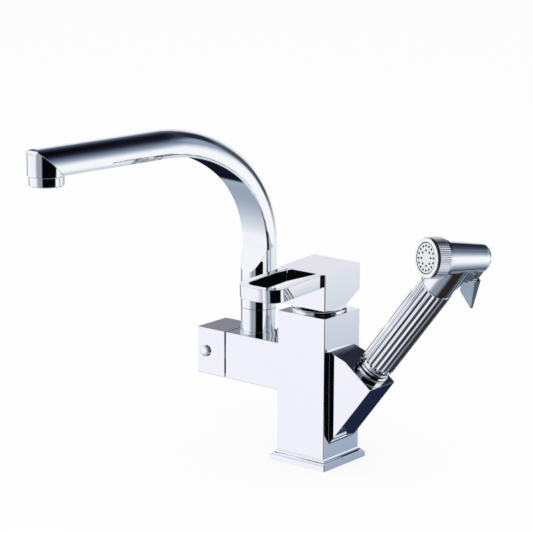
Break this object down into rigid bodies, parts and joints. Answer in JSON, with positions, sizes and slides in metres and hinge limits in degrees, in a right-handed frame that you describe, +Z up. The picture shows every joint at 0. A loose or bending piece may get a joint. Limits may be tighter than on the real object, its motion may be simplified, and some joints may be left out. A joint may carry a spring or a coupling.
{
  "type": "pull-out kitchen faucet",
  "caption": "Square single-lever kitchen mixer with an open loop handle, a swivelling arched spout on a side arm and a hand spray in a slanted holster.",
  "frame": {"origin": "centre of the base's underside, on the deck", "axes": "+Z up, the user stands at -Y, the side arm points to -X and the holster to +X"},
  "size_m": [0.2689, 0.2773, 0.2825],
  "materials": {
    "chrome": "polished",
    "brass": "satin",
    "rubber": "matte",
    "dark_plastic": "matte",
    "white_plastic": "matte",
    "steel": "brushed",
    "spray_plate": "glossy"
  },
  "bodies": {
    "base": {"base_flange": "chrome", "base_gasket": "rubber", "column_body": "chrome", "side_arm": "chrome", "holster": "chrome", "socket_collar": "chrome", "guide_bush": "dark_plastic", "dome_collar": "chrome", "cartridge_nut": "brass", "cartridge_housing": "white_plastic", "riser_base_ring": "chrome", "riser_collar": "chrome", "swivel_nipple": "brass", "swivel_o_rings": "rubber", "diverter_gland": "brass"},
    "spout": {"spout_tube": "chrome", "spout_bush": "white_plastic", "aerator_housing": "chrome", "aerator_insert": "white_plastic", "aerator_washer": "rubber"},
    "lever_carrier": {"cartridge_rotor": "brass", "lever_pin": "steel"},
    "lever": {"lever_stem": "brass", "lever_block": "chrome", "lever_loop": "chrome", "lever_set_screw": "steel"},
    "diverter": {"diverter_spindle": "brass", "diverter_knob": "chrome", "knob_peg": "chrome"},
    "hand_spray": {"hose_nut": "steel", "grip_ferrule": "chrome", "fluted_grip": "chrome", "spray_head": "chrome", "knurled_ring": "chrome", "front_rim": "chrome", "spray_face": "spray_plate", "face_gasket": "rubber", "trigger_pin": "steel"},
    "trigger": {"trigger": "chrome"},
    "plunger": {"valve_plunger": "steel"}
  },
  "joints": [
    {"name": "spout_swivel", "type": "hinge", "parent": "base", "child": "spout", "pos_m": [-0.0632, 0, 0.0977], "axis": [0, 0, 1], "continuous": true},
    {"name": "lever_turn", "type": "hinge", "parent": "base", "child": "lever_carrier", "pos_m": [0, 0, 0.128], "axis": [0, 0, 1], "range_deg": [-45, 45]},
    {"name": "lever_lift", "type": "hinge", "parent": "lever_carrier", "child": "lever", "pos_m": [0, 0, 0.128], "axis": [-1, 0, 0], "range_deg": [0, 24]},
    {"name": "diverter_turn", "type": "hinge", "parent": "base", "child": "diverter", "pos_m": [-0.1, 0, 0.07765], "axis": [-1, 0, 0], "range_deg": [0, 90]},
    {"name": "spray_pull", "type": "slide", "parent": "base", "child": "hand_spray", "axis": [0.6101, 0, 0.7923], "range_m": [0, 0.15]},
    {"name": "trigger_squeeze", "type": "hinge", "parent": "hand_spray", "child": "trigger", "pos_m": [0.13529, 0.02028, 0.17805], "axis": [-0.7473, 0.3322, 0.5755], "range_deg": [0, 10], "stiffness_Nm_per_rad": 0.2, "springref_deg": -17.19},
    {"name": "plunger_push", "type": "slide", "parent": "hand_spray", "child": "plunger", "axis": [-0.2632, -0.9432, 0.2027], "range_m": [0, 0.003]}
  ],
  "couplings": [
    {"joint": "plunger_push", "follows": "trigger_squeeze", "m_per_rad": 0.0166}
  ]
}
